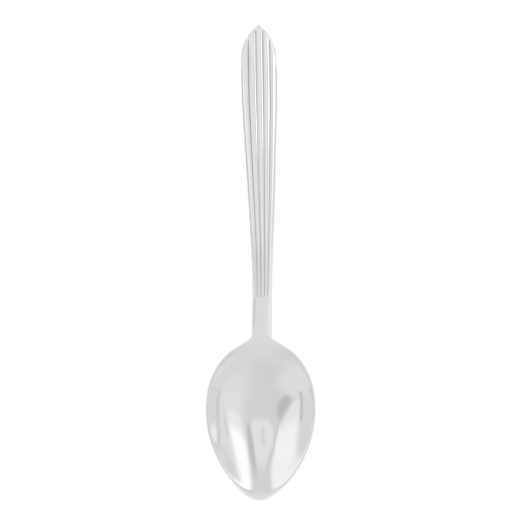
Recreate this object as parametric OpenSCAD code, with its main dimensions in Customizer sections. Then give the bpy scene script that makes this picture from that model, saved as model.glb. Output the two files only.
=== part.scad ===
// Serving spoon with a hollow ribbed handle, lying bowl up on a table.
// X runs across the spoon, Y along it with the handle's tip at +Y, and Z up.
// The origin is midway along the spoon, on the table. Lengths are in millimetres.
// Places along the spoon are given as a run, the distance from the handle's tip.

/* [Bowl] */
// Greatest width of the bowl
bowl_width = 50.6; // [42:0.1:60]
// Length from the widest line to the bowl's tip
bowl_front_length = 39.2; // [34:0.1:46]
// Length from the widest line back to where the oval closes at the neck
bowl_back_length = 32.2; // [28:0.1:39]
// Depth of the bowl below its rim
bowl_depth = 12; // [9:0.1:15]
// Thickness of the metal at the bottom of the bowl
bowl_wall = 1.8; // [1.3:0.1:3]
// Width of the flat land round the rim
rim_land = 0.9; // [0.5:0.1:1.4]
// Height of the square edge that runs round the rim, the shank and the handle
edge_thickness = 1.2; // [0.9:0.1:1.5]
// Blunt width at the very tip of the bowl
bowl_tip_flat = 2; // [1:0.1:4]
// Distance from the neck to where the bowl's hollow starts
neck_inset = 3; // [2:0.1:5]
// Distance from the start of the hollow back to where the bulge below it starts
neck_wall = 1.5; // [1:0.1:2]

/* [Shank] */
// Width of the plain shank
shank_width = 9.1; // [7.7:0.1:10.5]
// Length of the shank from the handle's mouth to the bowl's oval
shank_length = 17.2; // [12:0.1:22]
// Reach of the fillet between the shank and the bowl's outline
neck_fillet = 11; // [8:0.1:14]
// Length over which the shank's crowned top flattens into the bowl
neck_ease_length = 16; // [10:0.1:20]
// Length of the tongue-shaped heel under the bowl
heel_length = 17; // [10:0.1:22]
// Rise of the shank, in height over length
neck_slope = 0.26; // [0.18:0.01:0.34]

/* [Tang] */
// Length of the tang inside the handle
tang_length = 60; // [40:1:75]
// Width of the tang at its end
tang_end_width = 2.6; // [2:0.1:3.4]
// Cement above and below the tang at the handle's mouth
tang_cover = 0.4; // [0.3:0.05:0.6]
// Cement beside the tang at the handle's mouth
tang_side_cover = 1.35; // [0.8:0.05:1.8]
// Depth of the relief cut round the tang's root
tang_relief = 0.4; // [0.2:0.1:0.8]

/* [Handle] */
// Greatest width of the handle
handle_width = 16.5; // [13:0.1:19]
// Length of the pointed arch at the handle's tip
tip_length = 23.4; // [18:0.1:30]
// Length over which the handle narrows to the shank's width
taper_length = 101; // [85:0.5:115]
// Length of the parallel stretch above the handle's mouth
collar_length = 3; // [2:0.1:8]
// Height of the handle's front above the seam at its widest
front_height = 1.7; // [1.6:0.05:2.4]
// Height of the handle's front above the seam at its mouth
front_mouth_height = 1.8; // [1.7:0.05:2.2]
// Depth of the handle's back below the seam at its widest
back_height = 2.7; // [2.2:0.1:3.4]
// Depth of the handle's back below the seam at its mouth
back_mouth_height = 2; // [1.8:0.05:2.5]
// Blunt width at the very tip of the handle
handle_tip_flat = 1; // [0.6:0.1:2]
// Fall of the handle's end, in height over length
tail_slope = 0.06; // [0:0.01:0.1]

/* [Shells] */
// Thickness of the two handle shells
shell_wall = 0.8; // [0.6:0.05:0.9]
// Solid length at the tip before the hollow starts
tip_wall = 2.6; // [2:0.1:4]
// Length of the slope that closes the hollow at the tip
hollow_ramp = 0.7; // [0.4:0.1:1.2]
// Thickness of the braze between the two shells
seam_gap = 0.2; // [0.12:0.01:0.3]
// Thickness of the braze between the shells and the shank
mouth_gap = 0.2; // [0.12:0.01:0.3]
// Clearance on each side of the braze
braze_clearance = 0.02; // [0.01:0.005:0.03]
// Clearance round the filler and in its pocket
filler_clearance = 0.06; // [0.04:0.01:0.1]

/* [Ribs] */
// Number of ribs across the handle's front
rib_count = 5; // [3:2:7]
// Height of the ribs above the grooves at the widest part of the handle
rib_height = 0.36; // [0.2:0.02:0.5]
// Plain margin outside the ribs at the widest part of the handle
rib_margin_wide = 0.15; // [0.1:0.05:0.5]
// Plain margin outside the ribs at the mouth
rib_margin_mouth = 0.5; // [0.2:0.05:0.8]
// Width of the plain border round the pointed tip
rib_border = 1.5; // [0.8:0.1:2.2]
// Distance from the mouth to the lower ends of the ribs
rib_setback = 1.6; // [0.8:0.1:3]
// Length of the rounded end of a rib
rib_end_length = 0.9; // [0.6:0.1:2]

/* [Hidden] */

// Places along the spoon, as runs from the handle's tip
handle_length = tip_length + taper_length + collar_length;
shoulder_run = handle_length + mouth_gap;
neck_start = handle_length + shank_length;
bowl_centre = neck_start + bowl_back_length;
total_length = bowl_centre + bowl_front_length;
tip_y = total_length / 2;
tang_end_run = handle_length - tang_length;
tang_root_run = shoulder_run + tang_relief;
rib_end_run = handle_length - rib_setback;
rib_rows_start = rib_end_run - 2 * rib_end_length;

// Half sizes
bowl_half = bowl_width / 2;
shank_half = shank_width / 2;
handle_half = handle_width / 2;
edge_half = edge_thickness / 2;
seam_half = seam_gap / 2;
braze_half = seam_half - braze_clearance;
mouth_hole_half = shank_half - shell_wall;
mouth_hole_up = front_mouth_height - shell_wall;
mouth_hole_down = back_mouth_height - shell_wall;
tang_root_half = mouth_hole_half - tang_side_cover;
tang_thickness_half = min(mouth_hole_up, mouth_hole_down) - tang_cover;

// Heights of the seam's plane over the bowl and where the neck starts
bowl_plane = bowl_depth + bowl_wall - edge_half;
neck_rise = neck_slope * bowl_back_length / 2;
neck_height = bowl_plane + neck_rise;

// Shapes of the outlines and sections, as powers and shares
arch_power = 3.7;
arch_round_power = 0.92;
taper_ease_share = 0.2;
bowl_lean_share = 0.3;
bowl_round_share = 0.2;
bowl_back_power = 2.2;
crown_power = 3;
dip_power = 1.06;
neck_dip_power = 1.3;
heel_soft_power = 1.5;
heel_blend_power = 3;
rib_power = 2.5;
rib_size_power = 0.7;
rim_soft_share = 0.006;
tang_edge_share = 0.5;
tip_height_share = 0.5;
hollow_least_share = 0.5;
heel_point_share = 0.7;
border_start_share = 0.3;

// Counts of rows along the pieces and of steps across them
bowl_steps = 26;
bowl_front_rows = 14;
bowl_back_rows = 13;
shank_rows = 9;
tang_rows = 8;
solid_tip_rows = 5;
hollow_tip_rows = 9;
taper_rows = 16;
rib_end_rows = 11;
steps_per_rib = 6;
back_steps = 18;
front_edge_points = 4;
back_edge_points = 2;
hollow_steps = 12;
row_bunch_power = 1.7;
packed_step_share = 0.5;

// General functions
function clamp_share(u) = min(1, max(0, u));
function smooth_step(u) = let (v = clamp_share(u)) v * v * (3 - 2 * v);
function mix(a, b, u) = a + (b - a) * u;

// Larger of two numbers, rounded where they meet within the reach
function soft_max(a, b, reach) =
    let (h = max(reach - abs(a - b), 0) / reach)
    max(a, b) + h * h * reach / 4;

// Straight ramp from 0 to 1 with a rounded start and end
function eased_ramp(u, ease) =
    let (v = clamp_share(u), bend = 2 * ease * (1 - ease))
    v < ease ? v * v / bend :
    v > 1 - ease ? 1 - (1 - v) * (1 - v) / bend :
    (v - ease / 2) / (1 - ease);

// Outlines, as half widths at a run
function arch_share(run) =
    pow(1 - pow(1 - clamp_share(run / tip_length), arch_power), arch_round_power);
function taper_share(run) = eased_ramp((run - tip_length) / taper_length, taper_ease_share);
function handle_half_at(run) =
    max(handle_tip_flat / 2, mix(handle_half, shank_half, taper_share(run)) * arch_share(run));

// Signed square of the half width of the bowl's oval, drawn in by an inset, and another at the neck
function oval_square(run, inset, neck_gap) =
    let (
        front = run > bowl_centre,
        length = front ? bowl_front_length - inset : bowl_back_length - neck_gap,
        t = abs(run - bowl_centre) / length,
        lean = front ? 1 - bowl_lean_share * t * t + bowl_round_share * pow(t, 4) : 1
    )
    pow(bowl_half - inset, 2) * (1 - pow(t, front ? 2 : bowl_back_power)) * lean;
function bowl_half_at(run) =
    let (oval = oval_square(run, 0, 0))
    run > bowl_centre
        ? sqrt(max(pow(bowl_tip_flat / 2, 2), oval))
        : sqrt(soft_max(pow(shank_half, 2), oval, pow(neck_fillet, 2)));

// Heights of the handle's front and back from the seam's plane
function tip_swell(run) = mix(tip_height_share, 1, arch_share(run));
function front_at(run) = mix(front_height, front_mouth_height, taper_share(run)) * tip_swell(run);
function back_at(run) = mix(back_height, back_mouth_height, taper_share(run)) * tip_swell(run);

// Rows along the pieces
solid_tip_runs = [for (i = [0:solid_tip_rows]) tip_wall * pow(i / solid_tip_rows, row_bunch_power)];
hollow_start = tip_wall + hollow_ramp;
hollow_runs = [
    for (i = [0:hollow_tip_rows]) mix(hollow_start, tip_length, pow(i / hollow_tip_rows, row_bunch_power))
];
taper_runs = [for (i = [1:taper_rows]) mix(tip_length, rib_rows_start, i / taper_rows)];
rib_end_runs = [for (i = [1:rib_end_rows]) mix(rib_rows_start, handle_length, i / rib_end_rows)];
cavity_runs = concat(hollow_runs, taper_runs, rib_end_runs);
shell_runs = concat(solid_tip_runs, cavity_runs);
tang_runs = [for (i = [0:tang_rows]) mix(tang_end_run, tang_root_run, i / tang_rows)];
shank_runs = [
    for (i = [shank_rows:-1:1])
        mix(neck_start, shoulder_run, pow(i / shank_rows, row_bunch_power))
];
bowl_back_runs = [
    for (i = [bowl_back_rows:-1:1]) bowl_centre - bowl_back_length * sin(90 * i / bowl_back_rows)
];
bowl_front_runs = [
    for (i = [0:bowl_front_rows]) bowl_centre + bowl_front_length * sin(90 * i / bowl_front_rows)
];
bowl_runs = concat(shank_runs, bowl_back_runs, bowl_front_runs);

// Height of the seam's plane: level over the bowl's front, rising to the neck,
// then one arched curve whose tail is let down until the handle's back meets the table
function curve_fixed(u) =
    neck_height * (1 + 2 * u) * pow(1 - u, 2)
    + neck_slope * neck_start * u * pow(1 - u, 2)
    + tail_slope * neck_start * u * u * (1 - u);
function curve_tail(u) = u * u * (3 - 2 * u);
function curve_place(run) = (neck_start - run) / neck_start;
tail_height = max([
    for (run = concat(solid_tip_runs, hollow_runs, taper_runs))
        let (u = curve_place(run))
        (back_at(run) - curve_fixed(u)) / curve_tail(u)
]);
function spine_at(run) =
    run >= bowl_centre ? bowl_plane :
    run >= neck_start ? bowl_plane + neck_rise * pow((bowl_centre - run) / bowl_back_length, 2) :
    let (u = curve_place(run)) curve_fixed(u) + tail_height * curve_tail(u);

// Even shares from -1 to 1, and the same bunched towards both ends
function even_shares(steps) = [for (i = [0:steps]) 2 * i / steps - 1];
function bunched_shares(steps) = [for (s = even_shares(steps)) sin(90 * s)];
function backwards(list) = [for (i = [len(list) - 1:-1:0]) list[i]];
function crown(s) = 1 - pow(abs(s), crown_power);

// Closed ring of points across the spoon, crowned above and below the seam's plane
function section(run, half, up, down, land, shares) =
    let (y = tip_y - run, z = spine_at(run))
    concat(
        [for (s = shares) [half * s, y, z + land + (up - land) * crown(s)]],
        [for (s = backwards(shares)) [half * s, y, z - land - (down - land) * crown(s)]]
    );

// Ribs on the handle's front
function rib_field_half(run) =
    mix(handle_half - rib_margin_wide, shank_half - rib_margin_mouth, taper_share(run));
function rib_height_at(run) =
    rib_height * pow(rib_field_half(run) / (handle_half - rib_margin_wide), rib_size_power);
function outline_lean(run) =
    let (step = handle_tip_flat / 2)
    (handle_half_at(run + step) - handle_half_at(max(0, run - step))) / (2 * step);
function border_at(run) =
    max(rib_margin_wide, rib_border * (1 - smooth_step(2 * run / tip_length - 1)));
function border_fade(x, run) =
    let (
        gap = (handle_half_at(run) - abs(x)) / sqrt(1 + pow(outline_lean(run), 2)),
        place = gap / border_at(run)
    )
    smooth_step((place - border_start_share) / (1 - border_start_share));
function rib_at(x, run) =
    let (
        place = x / rib_field_half(run) * rib_count / 2,
        off = 2 * abs(place - round(place)),
        end_run = rib_end_run - rib_end_length * off * off / 2,
        end_fade = smooth_step((end_run - run) / rib_end_length)
    )
    abs(place) > rib_count / 2
        ? 0
        : rib_height_at(run) * (1 - pow(off, rib_power)) * border_fade(x, run) * end_fade;

// Steps across the ribs, packed close together where the pointed tip cuts the ribs off
function rib_columns(run) =
    let (
        half = handle_half_at(run),
        field = rib_field_half(run),
        steps = rib_count * steps_per_rib / 2,
        packed = packed_step_share / (steps + 1)
    )
    [
        for (i = [-steps:steps])
            sign(i) * min(field * abs(i) / steps, half * (1 - packed * (steps + 1 - abs(i))))
    ];

// Hollow of the shells: half width, and how far it is open at a run
function hollow_half_at(run) =
    max(handle_half_at(run) - shell_wall, handle_half_at(run) * hollow_least_share);
function hollow_open(run) = run < hollow_start ? 0 : 1;

// Triangles across a ring, whose first half of points faces its second half
function cap_faces(size, start) =
    let (last = size / 2 - 1)
    [
        for (j = [0:last - 1])
            let (
                a = start + j,
                b = start + j + 1,
                c = start + size - 2 - j,
                d = start + size - 1 - j
            )
            each j < last / 2 ? [[a, b, d], [b, c, d]] : [[a, b, c], [a, c, d]]
    ];

// Solid through a list of rings, capped at both ends or looped back to the first
module loft(rings, looped = false) {
    size = len(rings[0]);
    count = len(rings);
    links = looped ? count : count - 1;
    sides = [
        for (i = [0:links - 1], j = [0:size - 1])
            let (
                here = i * size,
                there = (i + 1) % count * size,
                k = (j + 1) % size
            )
            each [
                [here + j, here + k, there + k],
                [here + j, there + k, there + j]
            ]
    ];
    first_cap = [for (face = cap_faces(size, 0)) backwards(face)];
    last_cap = cap_faces(size, (count - 1) * size);
    caps = looped ? [] : concat(first_cap, last_cap);
    polyhedron([for (ring = rings) each ring], concat(sides, caps));
}

// Share of the bowl's depth reached at a place inside an oval, which starts gently at the neck
function dip(x, run, inset, neck_gap) =
    let (
        q = (oval_square(run, inset, neck_gap) - x * x) / pow(bowl_half - inset, 2),
        soft = rim_soft_share * ln(1 + exp(q / rim_soft_share)),
        neck = smooth_step((bowl_centre - run) / bowl_back_length)
    )
    pow(soft, mix(dip_power, neck_dip_power, neck));

// Height of the shank's tongue-shaped heel below the edge
function heel_at(x, run) =
    let (
        fade = smooth_step((run - neck_start) / heel_length),
        half = shank_half * (1 - heel_point_share * fade)
    )
    (back_mouth_height - edge_half) * pow(max(0, crown(x / half)), 1 + heel_soft_power * fade) * (1 - fade);

function bowl_top(x, run) =
    let (
        flat = smooth_step((run - neck_start + neck_ease_length / 2) / neck_ease_length),
        rise = (front_mouth_height - edge_half) * crown(x / bowl_half_at(run)) * (1 - flat)
    )
    spine_at(run) + edge_half + rise - bowl_depth * dip(x, run, rim_land, neck_inset);
function bowl_bottom(x, run) =
    let (
        fall = (bowl_depth + bowl_wall - edge_thickness) * dip(x, run, 0, neck_inset - neck_wall),
        heel = heel_at(x, run)
    )
    spine_at(run) - edge_half
    - pow(pow(fall, heel_blend_power) + pow(heel, heel_blend_power), 1 / heel_blend_power);

// Ring of points across the bowl or the shank
function bowl_ring(run) =
    let (
        y = tip_y - run,
        xs = [for (s = bunched_shares(bowl_steps)) bowl_half_at(run) * s]
    )
    concat(
        [for (x = xs) [x, y, bowl_top(x, run)]],
        [for (x = backwards(xs)) [x, y, bowl_bottom(x, run)]]
    );

// Ring of points round the tang, grown by a clearance
function tang_ring(run, grow, shares) =
    let (
        u = (tang_root_run - run) / (tang_root_run - tang_end_run),
        half = mix(tang_root_half, tang_end_width / 2, u) + grow,
        thick = tang_thickness_half + grow,
        edge = tang_thickness_half * tang_edge_share + grow
    )
    section(run, half, thick, thick, edge, shares);

// Ring of points round the shells' hollow at the mouth
function mouth_hole_ring(run, shares) =
    section(run, mouth_hole_half, mouth_hole_up, mouth_hole_down, seam_half, shares);

// Bowl, shank and tang, forged in one
module bowl() {
    shares = bunched_shares(bowl_steps);
    tang_rings = [for (run = tang_runs) tang_ring(run, 0, shares)];
    shoulder_ring = mouth_hole_ring(shoulder_run, shares);
    bowl_rings = [for (run = bowl_runs) bowl_ring(run)];
    color("Silver") loft(concat(tang_rings, [shoulder_ring], bowl_rings));
}

// Ribbed front half of the handle
module handle_front_shell() {
    hollow_shares = even_shares(rib_count * steps_per_rib + front_edge_points);
    rings = [
        for (run = shell_runs)
            let (
                y = tip_y - run,
                half = handle_half_at(run),
                spine = spine_at(run),
                seam = spine + seam_half,
                edge = spine + edge_half,
                inner = (front_at(run) - shell_wall - seam_half) * hollow_open(run)
            )
            concat(
                [[-half, y, seam], [-half, y, edge]],
                [
                    for (x = rib_columns(run))
                        [x, y, edge + (front_at(run) - edge_half) * crown(x / half) + rib_at(x, run)]
                ],
                [[half, y, edge], [half, y, seam]],
                [
                    for (s = backwards(hollow_shares))
                        [hollow_half_at(run) * s, y, seam + inner * crown(s)]
                ]
            )
    ];
    color("Gainsboro") loft(rings);
}

// Plain back half of the handle
module handle_back_shell() {
    hollow_shares = even_shares(back_steps + back_edge_points);
    rings = [
        for (run = shell_runs)
            let (
                y = tip_y - run,
                half = handle_half_at(run),
                spine = spine_at(run),
                seam = spine - seam_half,
                edge = spine - edge_half,
                inner = (back_at(run) - shell_wall - seam_half) * hollow_open(run)
            )
            concat(
                [[half, y, seam]],
                [
                    for (s = backwards(bunched_shares(back_steps)))
                        [half * s, y, edge - (back_at(run) - edge_half) * crown(s)]
                ],
                [[-half, y, seam]],
                [
                    for (s = hollow_shares)
                        [hollow_half_at(run) * s, y, seam - inner * crown(s)]
                ]
            )
    ];
    color("LightGray") loft(rings);
}

// Hard cement inside the handle, with a pocket for the tang
module handle_filler() {
    shares = bunched_shares(hollow_steps);
    inset = shell_wall + filler_clearance;
    mouth_run = shoulder_run - filler_clearance;
    body_rings = [
        for (run = concat(cavity_runs, [mouth_run]))
            section(run, hollow_half_at(run) - filler_clearance,
                front_at(run) - inset, back_at(run) - inset, seam_half, shares)
    ];
    pocket_runs = [for (i = [tang_rows - 1:-1:1]) tang_runs[i]];
    pocket_rings = [
        for (run = concat([mouth_run], pocket_runs, [tang_end_run - filler_clearance]))
            tang_ring(run, filler_clearance, shares)
    ];
    color("Tan") loft(concat(body_rings, pocket_rings));
}

// Braze between the edges of the two shells, round both sides and the tip
module seam_braze() {
    function corner(side, run, half, lift) = [side * half, tip_y - run, spine_at(run) + lift];
    function strip_ring(side, outer_run) =
        let (
            inner_run = max(outer_run, mix(tip_wall, tip_length, outer_run / tip_length)),
            outer = handle_half_at(outer_run),
            inner = hollow_half_at(inner_run)
        )
        [
            corner(side, outer_run, outer, braze_half),
            corner(side, outer_run, outer, -braze_half),
            corner(side, inner_run, inner, -braze_half),
            corner(side, inner_run, inner, braze_half)
        ];
    left_rings = [for (run = backwards(shell_runs)) strip_ring(-1, run)];
    right_rings = [for (run = shell_runs) strip_ring(1, run)];
    color("DarkGray") loft(concat(left_rings, right_rings));
}

// Braze between the shells' mouth and the shank's shoulder
module mouth_braze() {
    shares = bunched_shares(back_steps);
    start = handle_length + braze_clearance;
    end = shoulder_run - braze_clearance;
    function rim_ring(run) =
        section(run, shank_half, front_mouth_height, back_mouth_height, edge_half, shares);
    rings = [
        rim_ring(start),
        rim_ring(end),
        mouth_hole_ring(end, shares),
        mouth_hole_ring(start, shares)
    ];
    color("DarkGray") loft(rings, looped = true);
}

bowl();
handle_front_shell();
handle_back_shell();
handle_filler();
seam_braze();
mouth_braze();
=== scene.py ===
import math
from types import SimpleNamespace

import bmesh
import bpy
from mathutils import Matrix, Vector


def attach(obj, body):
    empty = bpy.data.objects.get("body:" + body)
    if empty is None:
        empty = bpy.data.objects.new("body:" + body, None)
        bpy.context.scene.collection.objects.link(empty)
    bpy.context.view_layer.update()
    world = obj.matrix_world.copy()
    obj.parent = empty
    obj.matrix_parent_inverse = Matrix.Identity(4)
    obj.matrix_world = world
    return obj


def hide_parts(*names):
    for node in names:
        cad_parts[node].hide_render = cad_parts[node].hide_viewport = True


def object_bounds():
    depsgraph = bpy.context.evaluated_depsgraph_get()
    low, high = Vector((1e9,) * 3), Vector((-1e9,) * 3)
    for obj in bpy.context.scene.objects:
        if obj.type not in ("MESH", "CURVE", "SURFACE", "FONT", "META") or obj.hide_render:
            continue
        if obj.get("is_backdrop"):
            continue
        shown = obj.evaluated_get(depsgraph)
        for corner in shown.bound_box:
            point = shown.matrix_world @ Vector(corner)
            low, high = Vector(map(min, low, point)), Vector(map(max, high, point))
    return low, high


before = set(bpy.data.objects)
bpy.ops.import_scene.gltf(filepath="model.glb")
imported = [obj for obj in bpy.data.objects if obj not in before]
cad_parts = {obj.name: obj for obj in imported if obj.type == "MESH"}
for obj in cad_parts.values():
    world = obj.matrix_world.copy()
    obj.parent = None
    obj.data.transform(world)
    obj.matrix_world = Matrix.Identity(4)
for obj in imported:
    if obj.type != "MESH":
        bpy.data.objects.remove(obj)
cad_low, cad_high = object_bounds()

mm = 0.001

# Sizes of the bowl and the shank
bowl = SimpleNamespace(
    half=25.3 * mm,
    front_length=39.2 * mm,
    back_length=32.2 * mm,
    depth=12 * mm,
    wall=1.8 * mm,
    rim_land=0.9 * mm,
    rim_roll=0.95 * mm,
    rim_drop=0.45 * mm,
    edge_half=0.6 * mm,
    shank_half=4.55 * mm,
    shank_length=17.2 * mm,
    neck_fillet=11 * mm,
    neck_ease=16 * mm,
    neck_slope=0.26,
    heel_length=17 * mm,
    back_power=2.2,
    lean_share=0.3,
    round_share=0.2,
    dip_power=1.06,
    neck_dip_power=1.3,
    rim_soft_share=0.006,
    neck_inset=3 * mm,
    neck_wall=1.5 * mm,
    heel_point_share=0.7,
    heel_soft_power=1.5,
    heel_blend_power=3,
)

# Sizes of the handle that both of its halves share
handle = SimpleNamespace(
    tip_length=23.4 * mm,
    taper_length=101 * mm,
    wide_half=8.25 * mm,
    mouth_half=bowl.shank_half,
    tip_flat_half=0.5 * mm,
    arch_power=3.7,
    arch_round_power=0.92,
    taper_ease_share=0.2,
    tip_height_share=0.5,
    shell_wall=0.8 * mm,
    tip_wall=2.6 * mm,
    hollow_ramp=0.7 * mm,
    hollow_least_share=0.5,
    seam_half=0.1 * mm,
    edge_half=bowl.edge_half,
    edge_bevel=0.3 * mm,
    edge_drop=0.14 * mm,
)
collar_length = 3 * mm
handle.length = handle.tip_length + handle.taper_length + collar_length

# Sizes of the handle's front and back, and of the ribs on the front
front = SimpleNamespace(wide_height=1.7 * mm, mouth_height=1.8 * mm, side=1)
back = SimpleNamespace(wide_height=2.7 * mm, mouth_height=2 * mm, side=-1)
ribs = SimpleNamespace(
    rib_count=5,
    rib_height=0.36 * mm,
    rib_margin_wide=0.15 * mm,
    rib_margin_mouth=0.5 * mm,
    rib_border=1.5 * mm,
    rib_border_start_share=0.3,
    rib_setback=1.6 * mm,
    rib_end_length=0.9 * mm,
    rib_size_power=0.7,
    rib_power=2.5,
    groove_round_share=0.07,
    groove_power=5,
    # Width of the painted highlight on each crest, and strength of the painted dark line along the tip's
    # edge
    crest_share=0.35,
    edge_shade_share=0.4,
)

# Sizes of the tang and of the braze at the handle's mouth
mouth_gap = 0.2 * mm
tang_length = 60 * mm
tang_end_half = 1.3 * mm
tang_cover = 0.4 * mm
tang_side_cover = 1.35 * mm
tang_relief = 0.4 * mm
tang_edge_share = 0.5

# Places along the spoon
shoulder_run = handle.length + mouth_gap
neck_start = handle.length + bowl.shank_length
bowl_centre = neck_start + bowl.back_length
total_length = bowl_centre + bowl.front_length
tip_y = total_length / 2

# Counts of rows along the pieces, of steps across them, and of places tried for the tail's height
counts = SimpleNamespace(
    front_rows=380,
    front_steps=220,
    back_rows=200,
    back_steps=72,
    hollow_steps=16,
    bowl_rows=110,
    shank_rows=56,
    tang_rows=8,
    bowl_steps=128,
    mouth_steps=64,
    tail_samples=400,
)
row_bunch_share = 0.8
crown_power = 3

# Limits for closing the meshes, and the step over which a slope is taken
merge_distance = 0.00001 * mm
sharp_angle = math.radians(48)
slope_step = 0.01 * mm


# A number that a node tree works out at each point, used with ordinary arithmetic signs.
class Field:
    def __init__(self, tree, socket):
        self.tree = tree
        self.socket = socket

    def __add__(self, other):
        return node_math("ADD", self, other)

    def __radd__(self, other):
        return node_math("ADD", other, self)

    def __sub__(self, other):
        return node_math("SUBTRACT", self, other)

    def __rsub__(self, other):
        return node_math("SUBTRACT", other, self)

    def __mul__(self, other):
        return node_math("MULTIPLY", self, other)

    def __rmul__(self, other):
        return node_math("MULTIPLY", other, self)

    def __truediv__(self, other):
        return node_math("DIVIDE", self, other)

    def __pow__(self, other):
        return node_math("POWER", self, other)

    def __gt__(self, other):
        return node_math("GREATER_THAN", self, other)

    def __abs__(self):
        return node_math("ABSOLUTE", self)

    def __round__(self):
        return node_math("ROUND", self)


def feed(tree, value, socket):
    """Links a field into a socket, or sets a plain number on it."""
    if isinstance(value, Field):
        tree.links.new(value.socket, socket)
    else:
        socket.default_value = value


def node_math(operation, *values):
    """Field of a sum worked out by a node, from fields and plain numbers."""
    tree = next(value.tree for value in values if isinstance(value, Field))
    node = tree.nodes.new("ShaderNodeMath")
    node.operation = operation
    for socket, value in zip(node.inputs, values):
        feed(tree, value, socket)
    return Field(tree, node.outputs[0])


# Rules that work on plain numbers and on fields alike
def is_field(*values):
    return any(isinstance(value, Field) for value in values)


def lesser(a, b):
    return node_math("MINIMUM", a, b) if is_field(a, b) else min(a, b)


def greater(a, b):
    return node_math("MAXIMUM", a, b) if is_field(a, b) else max(a, b)


def clamped(u):
    return greater(lesser(u, 1), 0)


def smooth_step(u):
    v = clamped(u)
    return v * v * (3 - 2 * v)


def between(a, b, share):
    return a + (b - a) * share


def eased_ramp(u, ease):
    """Straight ramp from 0 to 1 with a rounded start and end."""
    v = clamped(u)
    start = lesser(v, ease)
    middle = clamped(lesser(v - ease, 1 - 2 * ease))
    end = lesser(1 - v, ease)
    return ((start * start + ease * ease - end * end) / (2 * ease) + middle) / (1 - ease)


def crown(share):
    """Height share of the crown across a section."""
    return greater(1 - abs(share) ** crown_power, 0)


def section_height(share, up, edge):
    """Height across a section: an upright edge and a crown above it."""
    return edge + (up - edge) * crown(share)


# Outline and heights of the handle at a run, from a set of sizes
def arch_share(run, s):
    rest = 1 - clamped(run / s.tip_length)
    return (1 - rest ** s.arch_power) ** s.arch_round_power


def taper_share(run, s):
    return eased_ramp((run - s.tip_length) / s.taper_length, s.taper_ease_share)


def handle_half_at(run, s):
    half = between(s.wide_half, s.mouth_half, taper_share(run, s)) * arch_share(run, s)
    return greater(half, s.tip_flat_half)


def handle_height_at(run, s):
    swell = between(s.tip_height_share, 1, arch_share(run, s))
    return between(s.wide_height, s.mouth_height, taper_share(run, s)) * swell


def bevel_fall(share, run, s):
    """Fall of the bevel along the handle's edge, which runs out towards the mouth."""
    gap = handle_half_at(run, s) * (1 - abs(share))
    return s.edge_drop * (1 - clamped(gap / s.edge_bevel)) * (1 - taper_share(run, s))


def hollow_half_at(run, s):
    half = handle_half_at(run, s)
    return greater(half - s.shell_wall, half * s.hollow_least_share)


# Height of the seam's plane: level over the bowl's front, rising to the neck, then one arched
# curve whose tail is let down until the handle's back meets the table
bowl_plane = bowl.depth + bowl.wall - bowl.edge_half
neck_rise = bowl.neck_slope * bowl.back_length / 2
tail_slope = 0.06
curve = SimpleNamespace(
    neck_start=neck_start,
    neck_height=bowl_plane + neck_rise,
    neck_climb=bowl.neck_slope * neck_start,
    tail_climb=tail_slope * neck_start,
)


def curve_fixed(u, s):
    rest = 1 - u
    neck = s.neck_height * (1 + 2 * u) + s.neck_climb * u
    return neck * rest * rest + s.tail_climb * u * u * rest


def curve_tail(u):
    return u * u * (3 - 2 * u)


def curve_at(run, s):
    u = (s.neck_start - run) / s.neck_start
    return curve_fixed(u, s) + s.tail_height * curve_tail(u)


def tail_height_for(run):
    """Height of the tail at which the handle's back just meets the table at a run."""
    u = (neck_start - run) / neck_start
    back_sizes = SimpleNamespace(**vars(handle), **vars(back))
    return (handle_height_at(run, back_sizes) - curve_fixed(u, curve)) / curve_tail(u)


tail_end = handle.tip_length + handle.taper_length
curve.tail_height = max(
    tail_height_for(tail_end * i / counts.tail_samples) for i in range(counts.tail_samples)
)


def spine_at(run):
    if run >= bowl_centre:
        return bowl_plane
    if run >= neck_start:
        return bowl_plane + neck_rise * ((bowl_centre - run) / bowl.back_length) ** 2
    return curve_at(run, curve)


# Ribs on the handle's front
def outline_gap(x, run, s):
    """Distance in from the handle's outline."""
    step = s.tip_flat_half
    ahead = handle_half_at(run + step, s)
    behind = handle_half_at(greater(run - step, 0), s)
    lean = (ahead - behind) / (2 * step)
    return (handle_half_at(run, s) - abs(x)) / (1 + lean * lean) ** 0.5


def rib_place(x, run, s):
    """Place across the ribs in rib widths, from the middle one."""
    wide = s.wide_half - s.rib_margin_wide
    mouth = s.mouth_half - s.rib_margin_mouth
    field_half = between(wide, mouth, taper_share(run, s))
    return x / field_half * s.rib_count / 2, (field_half / wide) ** s.rib_size_power


def rib_fade(x, run, off, s):
    """Shares of a rib's height that is left, of the tip's border and of the border's outer edge."""
    border_share = 1 - smooth_step(2 * run / s.tip_length - 1)
    border = greater(s.rib_border * border_share, s.rib_margin_wide)
    gap_share = outline_gap(x, run, s) / border
    start = s.rib_border_start_share
    side_fade = smooth_step((gap_share - start) / (1 - start))
    edge = (1 - smooth_step(gap_share / start - 1)) * border_share
    end_run = s.length - s.rib_setback - s.rib_end_length * off * off / 2
    fade = side_fade * smooth_step((end_run - run) / s.rib_end_length)
    return fade, (1 - side_fade) * border_share, edge


def rib_shape(x, run, s):
    """Height of the ribs, share of painted shade (partly tarnish) in the grooves and on the tip's edge, and
    share of painted highlight on the crests and the tip's border.
    """
    place, size_share = rib_place(x, run, s)
    off = 2 * abs(place - round(place))
    rest = 1 - off
    soft_off = greater(1 - (rest * rest + s.groove_round_share ** 2) ** 0.5, 0)
    inside = 1 - (abs(place) > s.rib_count / 2)
    fade, border, edge = rib_fade(x, run, off, s)
    share = fade * inside
    height = s.rib_height * size_share * (1 - soft_off ** s.rib_power)
    crest = greater(clamped(1 - off / s.crest_share) * share, border)
    groove = greater(soft_off ** s.groove_power * share, edge * s.edge_shade_share)
    return height * share, groove, crest


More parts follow.
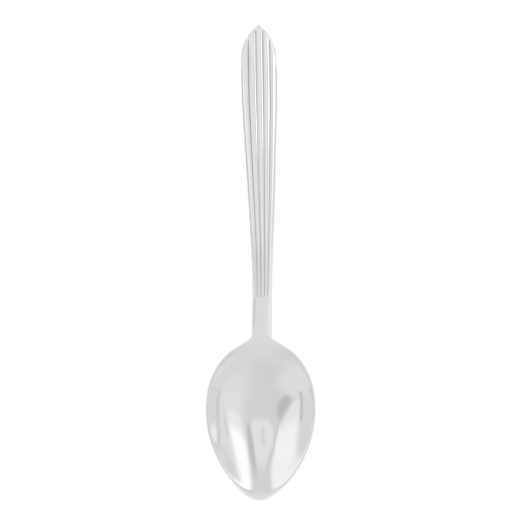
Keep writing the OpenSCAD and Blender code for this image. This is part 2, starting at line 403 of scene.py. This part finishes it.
# Node tree of one half of the handle: a tube of rows and steps bent to the outline, with the ribs
# on its outside and the hollow on its inside
shell_count_names = ("rows", "outer_steps", "inner_steps")
shell_size_names = (
    *vars(handle),
    *vars(curve),
    *vars(ribs),
    *vars(front),
    "tip_y",
)


def spoken(name):
    return name.replace("_", " ").capitalize()


def handle_shell_tree():
    tree = bpy.data.node_groups.new("handle_half_shell", "GeometryNodeTree")
    for name in shell_count_names:
        tree.interface.new_socket(spoken(name), in_out="INPUT", socket_type="NodeSocketInt")
    for name in shell_size_names:
        tree.interface.new_socket(spoken(name), in_out="INPUT", socket_type="NodeSocketFloat")
    tree.interface.new_socket("Finish", in_out="INPUT", socket_type="NodeSocketMaterial")
    tree.interface.new_socket("Shell", in_out="OUTPUT", socket_type="NodeSocketGeometry")
    entry = tree.nodes.new("NodeGroupInput")
    s = SimpleNamespace()
    for name in shell_count_names + shell_size_names:
        setattr(s, name, Field(tree, entry.outputs[spoken(name)]))

    # Sheet of rows and steps, whose last step comes round to the first
    ring = s.outer_steps + s.inner_steps + 2
    sheet = tree.nodes.new("GeometryNodeMeshGrid")
    sheet.inputs["Size X"].default_value = 1
    sheet.inputs["Size Y"].default_value = 1
    feed(tree, s.rows + 1, sheet.inputs["Vertices X"])
    feed(tree, ring + 1, sheet.inputs["Vertices Y"])
    position = tree.nodes.new("GeometryNodeInputPosition")
    split = tree.nodes.new("ShaderNodeSeparateXYZ")
    tree.links.new(position.outputs[0], split.inputs[0])
    along = clamped(Field(tree, split.outputs["X"]) + 0.5)
    step = round((Field(tree, split.outputs["Y"]) + 0.5) * ring)
    step = step - ring * (step > ring - 0.5)

    # Outside and inside of the shell
    bunch = node_math("SINE", along * (2 * math.pi)) * (row_bunch_share / (2 * math.pi))
    run = s.length * clamped(along - bunch)
    height = handle_height_at(run, s)
    outer_share = node_math("SINE", (2 * step / s.outer_steps - 1) * (math.pi / 2))
    outer_x = handle_half_at(run, s) * outer_share
    rib, groove, crest = rib_shape(outer_x, run, s)
    crowned = section_height(outer_share, height, s.edge_half)
    outer_z = crowned - bevel_fall(outer_share, run, s) + rib
    inner_share = 1 - 2 * (step - s.outer_steps - 1) / s.inner_steps
    inner_x = hollow_half_at(run, s) * inner_share
    hollow_open = clamped((run - s.tip_wall) / s.hollow_ramp)
    hollow_height = (height - s.shell_wall - s.seam_half) * hollow_open
    inner_z = s.seam_half + hollow_height * crown(inner_share)
    inside = step > s.outer_steps + 0.5
    place = tree.nodes.new("ShaderNodeCombineXYZ")
    feed(tree, s.side * between(outer_x, inner_x, inside), place.inputs["X"])
    feed(tree, s.tip_y - run, place.inputs["Y"])
    feed(tree, curve_at(run, s) + s.side * between(outer_z, inner_z, inside), place.inputs["Z"])

    # The sheet keeps its shares for the material, takes its shape, joins up and gets its finish
    bend = tree.nodes.new("GeometryNodeSetPosition")
    kept = []
    # The groove share carries painted shade, partly tarnish, and the crest share a painted highlight
    for name, share in (("groove", groove), ("crest", crest)):
        keep = tree.nodes.new("GeometryNodeStoreNamedAttribute")
        keep.data_type = "FLOAT"
        keep.domain = "POINT"
        keep.inputs["Name"].default_value = name
        feed(tree, share * (1 - inside), keep.inputs["Value"])
        kept.append(keep)
    join = tree.nodes.new("GeometryNodeMergeByDistance")
    join.inputs["Distance"].default_value = merge_distance
    smooth = tree.nodes.new("GeometryNodeSetShadeSmooth")
    realize = tree.nodes.new("GeometryNodeRealizeInstances")
    finish = tree.nodes.new("GeometryNodeSetMaterial")
    result = tree.nodes.new("NodeGroupOutput")
    tree.links.new(place.outputs[0], bend.inputs["Position"])
    tree.links.new(entry.outputs["Finish"], finish.inputs["Material"])
    chain = (sheet, *kept, bend, join, smooth, realize, finish, result)
    for before, after in zip(chain, chain[1:]):
        tree.links.new(before.outputs[0], after.inputs[0])
    return tree


def new_piece(name, mesh):
    piece = bpy.data.objects.new(name, mesh)
    bpy.context.scene.collection.objects.link(piece)
    return piece


def close_mesh(mesh):
    """Merges doubles, closes open ends, turns faces outwards and keeps true corners sharp."""
    work = bmesh.new()
    work.from_mesh(mesh)
    bmesh.ops.remove_doubles(work, verts=work.verts, dist=merge_distance)
    open_edges = [edge for edge in work.edges if edge.is_boundary]
    if open_edges:
        bmesh.ops.holes_fill(work, edges=open_edges)
    bmesh.ops.recalc_face_normals(work, faces=work.faces)
    for face in work.faces:
        face.smooth = True
    work.to_mesh(mesh)
    work.free()
    mesh.set_sharp_from_angle(angle=sharp_angle)


def handle_half(name, tree, half, finish, rib_height, rows, steps):
    """One half of the handle, worked out by the node tree and kept as a plain mesh."""
    piece = new_piece(name, bpy.data.meshes.new(name))
    shape = piece.modifiers.new("shell", "NODES")
    shape.node_group = tree
    values = {**vars(handle), **vars(curve), **vars(ribs), **vars(half)}
    values.update(rib_height=rib_height, tip_y=tip_y)
    values.update(rows=rows, outer_steps=steps, inner_steps=counts.hollow_steps)
    named = {spoken(key): value for key, value in values.items()}
    named["Finish"] = finish
    for item in tree.interface.items_tree:
        if item.in_out == "INPUT":
            shape[item.identifier] = named[item.name]
    seen = piece.evaluated_get(bpy.context.evaluated_depsgraph_get())
    mesh = bpy.data.meshes.new_from_object(seen)
    piece.modifiers.clear()
    piece.data = mesh
    mesh.name = name
    close_mesh(mesh)
    return piece


def loft(name, rings, finish, looped=False):
    """Closed mesh through rings of points, capped at both ends or looped back to the first."""
    size = len(rings[0])
    points = [point for ring in rings for point in ring]
    links = len(rings) if looped else len(rings) - 1
    faces = []
    for i in range(links):
        here = i * size
        there = (i + 1) % len(rings) * size
        for j in range(size):
            k = (j + 1) % size
            faces.append((here + j, here + k, there + k, there + j))
    mesh = bpy.data.meshes.new(name)
    mesh.from_pydata(points, [], faces)
    mesh.materials.append(finish)
    close_mesh(mesh)
    return new_piece(name, mesh)


# Outline and surfaces of the bowl and the shank
def soft_max(a, b, reach):
    """Larger of two numbers, rounded where they meet within the reach."""
    h = max(reach - abs(a - b), 0) / reach
    return max(a, b) + h * h * reach / 4


def oval_square(run, inset, neck_inset):
    """Signed square of the half width of the bowl's oval, drawn in by insets at the rim and neck."""
    ahead = run > bowl_centre
    length = bowl.front_length - inset if ahead else bowl.back_length - neck_inset
    t = abs(run - bowl_centre) / length
    lean = 1 - bowl.lean_share * t ** 2 + bowl.round_share * t ** 4 if ahead else 1
    return (bowl.half - inset) ** 2 * (1 - t ** (2 if ahead else bowl.back_power)) * lean


def bowl_half_at(run):
    oval = oval_square(run, 0, 0)
    if run > bowl_centre:
        return math.sqrt(max(oval, 0))
    return math.sqrt(soft_max(bowl.shank_half ** 2, oval, bowl.neck_fillet ** 2))


def rim_share(x, run, half):
    """Share of the rolled rim's height: 0 on the outline and 1 from the roll's width inwards."""
    ahead = bowl_half_at(min(run + slope_step, total_length))
    behind = bowl_half_at(run - slope_step)
    lean = (ahead ** 2 - behind ** 2) / (2 * slope_step)
    steepness = max(math.hypot(2 * x, lean), slope_step)
    inwards = clamped((half * half - x * x) / steepness / bowl.rim_roll)
    return 1 - (1 - inwards) ** 2


def dip(x, run, inset, neck_inset):
    """Share of the bowl's depth reached inside an oval, which starts gently at the neck."""
    q = (oval_square(run, inset, neck_inset) - x * x) / (bowl.half - inset) ** 2
    soft = bowl.rim_soft_share
    neck = smooth_step((bowl_centre - run) / bowl.back_length)
    power = between(bowl.dip_power, bowl.neck_dip_power, neck)
    return (soft * math.log(1 + math.exp(q / soft))) ** power


def bowl_top(x, run, half, rim):
    """Height of the upper side: the shank's crown, which flattens into the rim, and the hollow."""
    flat = smooth_step((run - neck_start + bowl.neck_ease / 2) / bowl.neck_ease)
    share = x / half if half else 0
    shank = section_height(share, front.mouth_height, bowl.edge_half)
    lid = between(shank, bowl.edge_half - bowl.rim_drop * (1 - rim), flat)
    return spine_at(run) + lid - bowl.depth * dip(x, run, bowl.rim_land, bowl.neck_inset) * rim


def bowl_bottom(x, run, rim):
    """Height of the lower side: the edge, the bulge of the bowl and the heel blended into it."""
    fade = smooth_step((run - neck_start) / bowl.heel_length)
    heel_half = bowl.shank_half * (1 - bowl.heel_point_share * fade)
    heel_share = crown(x / heel_half) ** (1 + bowl.heel_soft_power * fade)
    heel = (back.mouth_height - bowl.edge_half) * heel_share * (1 - fade)
    under = dip(x, run, 0, bowl.neck_inset - bowl.neck_wall)
    fall = (bowl.depth + bowl.wall - 2 * bowl.edge_half) * under
    power = bowl.heel_blend_power
    neck = smooth_step((run - shoulder_run) / (neck_start - shoulder_run))
    edge = bowl.edge_half - bowl.rim_drop * (1 - rim) * neck
    return spine_at(run) - edge - (fall ** power + heel ** power) ** (1 / power)


def painted_rim_highlight(x, run):
    """Share of the painted highlight along the middle of the rolled rim, which fades out at the neck."""
    half = bowl_half_at(run)
    line = 1 - abs(2 * rim_share(x, run, half) - 1)
    return line * smooth_step((run - neck_start) / bowl.neck_ease)


def spaced(start, end, steps):
    """Places from a start to an end in equal steps."""
    return [between(start, end, i / steps) for i in range(steps + 1)]


def bunched_shares(steps):
    """Shares from -1 to 1, closer together towards both ends."""
    return [math.sin(math.pi * (i / steps - 0.5)) for i in range(steps + 1)]


def bowl_ring(run):
    half = bowl_half_at(run)
    y = tip_y - run
    xs = [half * share for share in bunched_shares(counts.bowl_steps)]
    rims = [rim_share(x, run, half) for x in xs]
    over = [(x, y, bowl_top(x, run, half, rim)) for x, rim in zip(xs, rims)]
    under = [(x, y, bowl_bottom(x, run, rim)) for x, rim in zip(xs, rims)]
    return over + under[::-1]


def section(run, half, up, down, edge, shares):
    """Ring across the spoon, crowned above and below the seam's plane."""
    y = tip_y - run
    z = spine_at(run)
    over = [(half * share, y, z + section_height(share, up, edge)) for share in shares]
    under = [(half * share, y, z - section_height(share, down, edge)) for share in shares]
    return over + under[::-1]


def tang_ring(run, shares):
    root_half = handle.mouth_half - handle.shell_wall - tang_side_cover
    thick = min(front.mouth_height, back.mouth_height) - handle.shell_wall - tang_cover
    root_run = shoulder_run + tang_relief
    u = (root_run - run) / (tang_length + tang_relief + mouth_gap)
    half = between(root_half, tang_end_half, u)
    return section(run, half, thick, thick, thick * tang_edge_share, shares)


def mouth_hole_ring(run, shares):
    half = handle.mouth_half - handle.shell_wall
    up = front.mouth_height - handle.shell_wall
    down = back.mouth_height - handle.shell_wall
    return section(run, half, up, down, handle.seam_half, shares)


def bowl_piece(name, finish):
    """Bowl, shank and tang, forged in one."""
    shares = bunched_shares(counts.bowl_steps)
    tang_end = handle.length - tang_length
    tang_root = shoulder_run + tang_relief
    tang_runs = spaced(tang_end, tang_root, counts.tang_rows)
    shank_runs = spaced(shoulder_run, neck_start, counts.shank_rows)[:-1]
    turns = [math.sin(math.pi / 2 * i / counts.bowl_rows) for i in range(counts.bowl_rows + 1)]
    back_runs = [bowl_centre - bowl.back_length * turn for turn in turns[:0:-1]]
    front_runs = [bowl_centre + bowl.front_length * turn for turn in turns]
    rings = [tang_ring(run, shares) for run in tang_runs]
    rings.append(mouth_hole_ring(shoulder_run, shares))
    rings += [bowl_ring(run) for run in shank_runs + back_runs + front_runs]
    piece = loft(name, rings, finish)
    # The crest share here holds the painted highlight along the rim
    crest = piece.data.attributes.new("crest", "FLOAT", "POINT")
    for vertex, share in zip(piece.data.vertices, crest.data):
        run = tip_y - vertex.co.y
        if run > neck_start:
            share.value = painted_rim_highlight(vertex.co.x, min(run, total_length))
    return piece


def mouth_braze_piece(name, finish):
    """Ring of braze between the handle's mouth and the shank's shoulder."""
    shares = bunched_shares(counts.mouth_steps)
    heights = (front.mouth_height, back.mouth_height, handle.edge_half)
    ends = (handle.length, shoulder_run)
    outer = [section(run, handle.mouth_half, *heights, shares) for run in ends]
    inner = [mouth_hole_ring(run, shares) for run in reversed(ends)]
    return loft(name, outer + inner, finish, looped=True)


# Colours, and strengths of the marks, of each metal
steel_colour = (0.83, 0.83, 0.835)
braze_colour = (0.82, 0.82, 0.82)
bowl_look = SimpleNamespace(
    colour=steel_colour, roughness=0.07, line_strength=0.3, smudge_strength=0.05, worn=True
)
front_look = SimpleNamespace(
    colour=steel_colour, roughness=0.09, line_strength=0.35, smudge_strength=0.05, worn=True
)
back_look = SimpleNamespace(
    colour=steel_colour, roughness=0.09, line_strength=0.35, smudge_strength=0.06, worn=False
)
braze_look = SimpleNamespace(
    colour=braze_colour, roughness=0.12, line_strength=0.2, smudge_strength=0.05, worn=False
)

# Painted highlight: brighter colour that lightens the metal, and places along the spoon where it sets in
# and fades out
painted_highlight_colour = (0.925, 0.925, 0.93)
painted_highlight_from = (-44 * mm, -37 * mm)
painted_highlight_to = (-22 * mm, 10 * mm)

# Painted shade, partly tarnish, darkening the grooves, and a painted dark line along the tip's edge
tarnish_and_shade_power = 1.5
tarnish_and_shade_strength = 0.98
tarnish_and_shade_haze = 0.08

# Marks of polishing and use
polish = SimpleNamespace(
    line_scale=60,
    line_detail=3,
    line_stretch=(45, 1, 45),
    line_haze=0.06,
    scratch_scale=40,
    scratch_detail=1,
    scratch_stretch=(30, 1, 30),
    scratch_turn=(0, 0, math.radians(38)),
    scratch_range=(0.70, 0.76),
    scratch_share=0.5,
    smudge_scale=70,
    smudge_detail=4,
    smudge_range=(0.45, 0.75),
    smudge_tone=0.25,
    bump_strength=0.05,
    bump_depth=0.02 * mm,
)

# Hard cement
cement = SimpleNamespace(
    colour=(0.62, 0.57, 0.48),
    dark_share=0.75,
    grain_scale=2500,
    grain_detail=4,
    cloud_scale=180,
    cloud_detail=3,
    roughness=(0.75, 0.95),
    bump_strength=0.4,
    bump_depth=0.1 * mm,
)


# Materials
def new_material(name):
    finish = bpy.data.materials.new(name)
    finish.use_nodes = True
    tree = finish.node_tree
    shader = next(node for node in tree.nodes if node.type == "BSDF_PRINCIPLED")
    return finish, tree, shader


def noise(tree, vector, scale, detail, stretch=(1, 1, 1), turn=(0, 0, 0)):
    """Noise on given coordinates, stretched and turned, as its value socket."""
    mapping = tree.nodes.new("ShaderNodeMapping")
    mapping.inputs["Scale"].default_value = stretch
    mapping.inputs["Rotation"].default_value = turn
    tree.links.new(vector, mapping.inputs["Vector"])
    texture = tree.nodes.new("ShaderNodeTexNoise")
    texture.inputs["Scale"].default_value = scale
    texture.inputs["Detail"].default_value = detail
    tree.links.new(mapping.outputs[0], texture.inputs["Vector"])
    return texture.outputs["Fac"]


def spread(tree, value, low, high, to_low=0, to_high=1):
    """Maps a range of a value to another one, held at its ends."""
    node = tree.nodes.new("ShaderNodeMapRange")
    node.inputs["From Min"].default_value = low
    node.inputs["From Max"].default_value = high
    node.inputs["To Min"].default_value = to_low
    node.inputs["To Max"].default_value = to_high
    tree.links.new(value, node.inputs["Value"])
    return node.outputs[0]


def soft_step(tree, value, low, high):
    """Share from 0 to 1 over a range of a value."""
    node = tree.nodes.new("ShaderNodeMapRange")
    node.interpolation_type = "SMOOTHSTEP"
    node.inputs["From Min"].default_value = low
    node.inputs["From Max"].default_value = high
    feed(tree, value, node.inputs["Value"])
    return Field(tree, node.outputs[0])


def polish_group():
    """Marks on metal: fine lines along the spoon, stray scratches and smudges."""
    group = bpy.data.node_groups.new("polish_marks", "ShaderNodeTree")
    group.interface.new_socket("Coordinates", in_out="INPUT", socket_type="NodeSocketVector")
    for name in ("Line strength", "Smudge strength"):
        group.interface.new_socket(name, in_out="INPUT", socket_type="NodeSocketFloat")
    for name in ("Tone", "Haze", "Height"):
        group.interface.new_socket(name, in_out="OUTPUT", socket_type="NodeSocketFloat")
    entry = group.nodes.new("NodeGroupInput")
    result = group.nodes.new("NodeGroupOutput")
    coordinates = entry.outputs["Coordinates"]
    p = polish
    lines = Field(group, noise(group, coordinates, p.line_scale, p.line_detail, p.line_stretch))
    scratch_form = (p.scratch_scale, p.scratch_detail, p.scratch_stretch, p.scratch_turn)
    strays = noise(group, coordinates, *scratch_form)
    scratch = Field(group, spread(group, strays, *p.scratch_range))
    clouds = noise(group, coordinates, p.smudge_scale, p.smudge_detail)
    smudge = Field(group, spread(group, clouds, *p.smudge_range))
    line_strength = Field(group, entry.outputs["Line strength"])
    smudge_strength = Field(group, entry.outputs["Smudge strength"])
    marks = lines * line_strength + scratch * line_strength * p.scratch_share
    feed(group, 1 - smudge * smudge_strength * p.smudge_tone, result.inputs["Tone"])
    feed(group, marks * p.line_haze + smudge * smudge_strength, result.inputs["Haze"])
    feed(group, marks, result.inputs["Height"])
    return group


def attribute(tree, name):
    """Share kept on the mesh's points, which is 0 where the mesh has none."""
    node = tree.nodes.new("ShaderNodeAttribute")
    node.attribute_name = name
    return Field(tree, node.outputs["Fac"])


def painted_highlight_share(tree, coordinates):
    """Share of the painted highlight that lightens the shank: full along the shank, gone in the bowl and up
    the handle.
    """
    split = tree.nodes.new("ShaderNodeSeparateXYZ")
    tree.links.new(coordinates, split.inputs[0])
    along = Field(tree, split.outputs["Y"])
    return soft_step(tree, along, *painted_highlight_from) * (1 - soft_step(tree, along, *painted_highlight_to))


def colour_mix(tree):
    node = tree.nodes.new("ShaderNodeMix")
    node.data_type = "RGBA"
    return node


def add_bump(tree, shader, height, strength, depth):
    bump = tree.nodes.new("ShaderNodeBump")
    bump.inputs["Strength"].default_value = strength
    bump.inputs["Distance"].default_value = depth
    tree.links.new(height, bump.inputs["Height"])
    tree.links.new(bump.outputs["Normal"], shader.inputs["Normal"])


def metal(name, marks, look):
    """Polished metal with marks and a painted highlight along the shank. Some pieces also get painted
    highlights on the crests and rim, and painted shade, partly tarnish, in the grooves.
    """
    finish, tree, shader = new_material(name)
    place = tree.nodes.new("ShaderNodeTexCoord")
    group = tree.nodes.new("ShaderNodeGroup")
    group.node_tree = marks
    tree.links.new(place.outputs["Object"], group.inputs["Coordinates"])
    group.inputs["Line strength"].default_value = look.line_strength
    group.inputs["Smudge strength"].default_value = look.smudge_strength
    tone = Field(tree, group.outputs["Tone"])
    haze = Field(tree, group.outputs["Haze"])
    painted_highlight = painted_highlight_share(tree, place.outputs["Object"])
    # Painted shade, partly tarnish, in the grooves and along the tip's edge, and painted highlights on the
    # crests, the tip's border and the rim
    if look.worn:
        tarnish_and_shade = attribute(tree, "groove") ** tarnish_and_shade_power
        tone = tone * (1 - tarnish_and_shade * tarnish_and_shade_strength)
        haze = haze + tarnish_and_shade * tarnish_and_shade_haze
        painted_highlight = greater(painted_highlight, attribute(tree, "crest"))
    bare = colour_mix(tree)
    bare.inputs["A"].default_value = (*look.colour, 1)
    bare.inputs["B"].default_value = (*painted_highlight_colour, 1)
    feed(tree, painted_highlight, bare.inputs["Factor"])
    tint = colour_mix(tree)
    tint.inputs["A"].default_value = (0, 0, 0, 1)
    tree.links.new(bare.outputs["Result"], tint.inputs["B"])
    feed(tree, tone, tint.inputs["Factor"])
    tree.links.new(tint.outputs["Result"], shader.inputs["Base Color"])
    feed(tree, haze + look.roughness, shader.inputs["Roughness"])
    shader.inputs["Metallic"].default_value = 1
    add_bump(tree, shader, group.outputs["Height"], polish.bump_strength, polish.bump_depth)
    return finish


def cement_material():
    """Grainy hard cement."""
    finish, tree, shader = new_material("cement")
    place = tree.nodes.new("ShaderNodeTexCoord")
    grain = noise(tree, place.outputs["Object"], cement.grain_scale, cement.grain_detail)
    clouds = noise(tree, place.outputs["Object"], cement.cloud_scale, cement.cloud_detail)
    tint = colour_mix(tree)
    tint.inputs["A"].default_value = (*[channel * cement.dark_share for channel in cement.colour], 1)
    tint.inputs["B"].default_value = (*cement.colour, 1)
    tree.links.new(clouds, tint.inputs["Factor"])
    tree.links.new(tint.outputs["Result"], shader.inputs["Base Color"])
    tree.links.new(spread(tree, grain, 0, 1, *cement.roughness), shader.inputs["Roughness"])
    add_bump(tree, shader, grain, cement.bump_strength, cement.bump_depth)
    return finish


marks = polish_group()
bowl_steel = metal("polished_steel_bowl", marks, bowl_look)
front_steel = metal("polished_steel_ribs", marks, front_look)
back_steel = metal("polished_steel_back", marks, back_look)
braze = metal("silver_braze", marks, braze_look)

# Pieces
shell_tree = handle_shell_tree()
front_form = (ribs.rib_height, counts.front_rows, counts.front_steps)
back_form = (0, counts.back_rows, counts.back_steps)
front_shell = handle_half("ribbed_front", shell_tree, front, front_steel, *front_form)
back_shell = handle_half("plain_back", shell_tree, back, back_steel, *back_form)
bowl_and_shank = bowl_piece("bowl_and_shank", bowl_steel)
mouth_ring = mouth_braze_piece("mouth_ring", braze)
placed = (
    (front_shell, "handle_front_shell", "polished_steel"),
    (back_shell, "handle_back_shell", "polished_steel"),
    (bowl_and_shank, "bowl", "polished_steel"),
    (mouth_ring, "mouth_braze", "silver_braze"),
)
for piece, node, slot in placed:
    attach(piece, "root")
    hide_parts(node)
for node, finish in (("seam_braze", braze), ("handle_filler", cement_material())):
    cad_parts[node].data.materials.clear()
    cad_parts[node].data.materials.append(finish)


# Floor, which glows so that it is white outside the shadow
floor_half = 3
floor_height = -0.1 * mm
floor_tone = 0.3
floor_glow = 0.49

# Greys of the studio, and where they change, as parts of a ray of unit length
ceiling_grey = 0.765
wall_grey = 0.76
side_grey = 0.87
side_shift = 0.3
side_turn = (0.35, 1.1)
ceiling_rise = (0.70, 0.95)
near_skirting_grey = 0.81
far_skirting_grey = 1.0
skirting_turn = (0.55, 0.9)
skirting_rise = (0.05, 0.25)

# Cards: grey, softness of the edges, and corners as azimuth and elevation in degrees
cards = (
    # Pale screen between the two white cards, with a dim stripe
    (0.90, 0.06, ((62, 43), (113, 43), (143, 56), (150, 70), (30, 70), (34, 60))),
    (0.79, 0.04, ((90, 55), (104, 55), (110, 70), (90, 70))),
    # White card on the right, dimmer round its upper end
    (0.98, 0.05, (
        (-2, 22), (35, 25), (56, 29), (74, 30), (75, 34), (56, 41.5), (36, 50), (18, 55), (3, 40),
    )),
    (1.2, 0.07, (
        (11, 24), (35, 25), (56, 29), (74, 30), (75, 34), (67, 39), (56, 41.5), (44, 46), (27, 42),
    )),
    # White card on the left, dimmer towards its near end
    (0.93, 0.03, (
        (104, 28), (112, 27), (152, 22.5), (198, 19), (188, 33), (176, 41), (150, 51), (132, 50), (103, 36),
    )),
    (1.07, 0.08, (
        (104, 27), (112, 26), (152, 21.5), (176, 24), (158, 44), (150, 50), (132, 50), (103, 36),
    )),
    # Soft pale wall at the near left
    (0.86, 0.17, ((192, 4), (245, 4), (238, 34), (206, 36))),
    # Pale strips low on the right
    (1.08, 0.055, ((8, 2), (23, 2), (23, 10), (8, 8))),
    (1.12, 0.025, ((20, 2), (45, 19), (43, 25), (19, 9))),
    # Dark edges of the cards
    (0.63, 0.025, ((77, 42), (32, 62), (26, 56), (33, 52), (45, 48), (56, 43), (67, 41))),
    (0.72, 0.015, ((120, 44), (160, 49), (162, 52), (122, 48))),
    (0.72, 0.015, ((98, 42), (121, 46), (121, 50), (96, 44))),
    (0.63, 0.012, ((135, 27.5), (146, 21.5), (147, 23.2), (136.5, 29.2))),
    (0.68, 0.012, ((18, 8), (47, 28.2), (46.5, 29.6), (17.5, 9.5))),
    # Dark stand at the near end of the left card
    (0.59, 0.085, ((190, 32), (203, 29), (209, 36), (199, 52), (176, 57), (164, 49))),
    # Dark rails low on both sides
    (0.54, 0.012, ((172, 19.3), (205, 16.3), (205, 18.1), (172, 21.1))),
    (0.7, 0.012, ((338, 6.5), (20, 7.8), (20, 10.6), (338, 9.3))),
    (0.72, 0.012, ((4, 17), (19, 18.3), (19, 20.3), (4, 19))),
)

# Two suns, with angles in degrees
overhead_energy = 3.5
overhead_spread = 7
overhead_lean = 18
overhead_turn = 40
overhead_drift = 0.06

# Lamp that lights the ribs
handle_lamp_width = 24 * mm
handle_lamp_length = 60 * mm
handle_lamp_x = 92 * mm
handle_lamp_y = 138 * mm
handle_lamp_height = 110 * mm
handle_lamp_glow = 1.2

# Camera, with its lean in degrees
camera_lens = 600
camera_sensor = 36
camera_lean = 5
frame_width = 241 * mm
camera_plane = 13.8 * mm
camera_x = 1.0 * mm
camera_y = -1.5 * mm


# Floor, light and camera
def floor():
    """White floor that shows the spoon's shadow."""
    mesh = bpy.data.meshes.new("floor")
    corners = ((-1, -1), (1, -1), (1, 1), (-1, 1))
    points = [(x * floor_half, y * floor_half, floor_height) for x, y in corners]
    mesh.from_pydata(points, [], [range(len(points))])
    finish = bpy.data.materials.new("floor_white")
    finish.use_nodes = True
    tree = finish.node_tree
    tree.nodes.clear()
    lit = tree.nodes.new("ShaderNodeBsdfDiffuse")
    lit.inputs["Color"].default_value = (floor_tone, floor_tone, floor_tone, 1)
    glow = tree.nodes.new("ShaderNodeEmission")
    glow.inputs["Strength"].default_value = floor_glow
    both = tree.nodes.new("ShaderNodeAddShader")
    result = tree.nodes.new("ShaderNodeOutputMaterial")
    tree.links.new(lit.outputs[0], both.inputs[0])
    tree.links.new(glow.outputs[0], both.inputs[1])
    tree.links.new(both.outputs[0], result.inputs["Surface"])
    mesh.materials.append(finish)
    new_piece("floor", mesh)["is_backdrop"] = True


def direction(azimuth, elevation):
    """Unit vector at an azimuth from +X and an elevation, in degrees."""
    turn = math.radians(azimuth)
    rise = math.radians(elevation)
    level = math.cos(rise)
    return Vector((math.cos(turn) * level, math.sin(turn) * level, math.sin(rise)))


def card_mask(tree, ray, corners, softness):
    """Share of a ray that meets a card. Corners run along the lower edge and back along the upper."""
    turned = [direction(*corner) for corner in corners]
    mask = 1
    for here, there in zip(turned, turned[1:] + turned[:1]):
        side = tree.nodes.new("ShaderNodeVectorMath")
        side.operation = "DOT_PRODUCT"
        side.inputs[1].default_value = here.cross(there).normalized()
        tree.links.new(ray, side.inputs[0])
        mask = soft_step(tree, Field(tree, side.outputs["Value"]), -softness, softness) * mask
    return mask


def studio_world():
    """Grey walls and ceiling with a pale skirting, and soft-edged cards in front of them."""
    world = bpy.data.worlds.new("studio")
    bpy.context.scene.world = world
    world.use_nodes = True
    tree = world.node_tree
    sky = next(node for node in tree.nodes if node.type == "BACKGROUND")
    place = tree.nodes.new("ShaderNodeTexCoord")
    ray = place.outputs["Generated"]
    split = tree.nodes.new("ShaderNodeSeparateXYZ")
    tree.links.new(ray, split.inputs[0])
    rise = Field(tree, split.outputs["Z"])
    across = abs(Field(tree, split.outputs["X"]) + side_shift)
    walls = between(wall_grey, side_grey, soft_step(tree, across, *side_turn))
    shade = between(walls, ceiling_grey, soft_step(tree, rise, *ceiling_rise))
    far = Field(tree, split.outputs["Y"])
    skirting = between(near_skirting_grey, far_skirting_grey, soft_step(tree, far, *skirting_turn))
    shade = between(skirting, shade, soft_step(tree, rise, *skirting_rise))
    for grey, softness, corners in cards:
        shade = between(shade, grey, card_mask(tree, ray, corners, softness))
    feed(tree, shade, sky.inputs["Color"])


def overhead_lamps():
    """Two high lamps on the handle's side, whose shadows overlap below the bowl's tip."""
    lean = math.sin(math.radians(overhead_lean))
    turn = math.radians(overhead_turn)
    reach = lean * math.sin(turn)
    for side in (-1, 1):
        lamp = bpy.data.lights.new("overhead", "SUN")
        lamp.energy = overhead_energy
        lamp.angle = math.radians(overhead_spread)
        lit = bpy.data.objects.new("overhead", lamp)
        bpy.context.scene.collection.objects.link(lit)
        beam = Vector((side * reach + overhead_drift, -lean * math.cos(turn), -1))
        lit.rotation_euler = beam.to_track_quat("-Z", "Y").to_euler()
        lit.visible_glossy = False


def handle_lamp():
    """Flat lamp beside and beyond the handle's tip, which lights the right flanks of its ribs."""
    lamp = bpy.data.lights.new("handle_lamp", "AREA")
    lamp.shape = "RECTANGLE"
    lamp.size = handle_lamp_width
    lamp.size_y = handle_lamp_length
    lamp.energy = handle_lamp_glow * math.pi * handle_lamp_width * handle_lamp_length
    lit = bpy.data.objects.new("handle_lamp", lamp)
    bpy.context.scene.collection.objects.link(lit)
    lit.location = (handle_lamp_x, handle_lamp_y, handle_lamp_height)
    lit.visible_diffuse = False


def top_camera():
    """Camera above, leaning a little to the left, with the handle's tip at the picture's top."""
    lens = bpy.data.cameras.new("camera")
    lens.lens = camera_lens
    lens.sensor_width = camera_sensor
    eye = bpy.data.objects.new("camera", lens)
    bpy.context.scene.collection.objects.link(eye)
    reach = frame_width * camera_lens / camera_sensor
    lean = math.radians(camera_lean)
    aside = reach * math.sin(lean)
    above = reach * math.cos(lean)
    eye.location = (camera_x - aside, camera_y, camera_plane + above)
    eye.rotation_euler = (0, -lean, 0)
    bpy.context.scene.camera = eye


floor()
studio_world()
overhead_lamps()
handle_lamp()
top_camera()
bpy.context.scene.view_settings.view_transform = "Standard"

seen_low, seen_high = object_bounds()
boxes = {
    "cad": [list(cad_low), list(cad_high)],
    "visual": [list(seen_low), list(seen_high)],
}
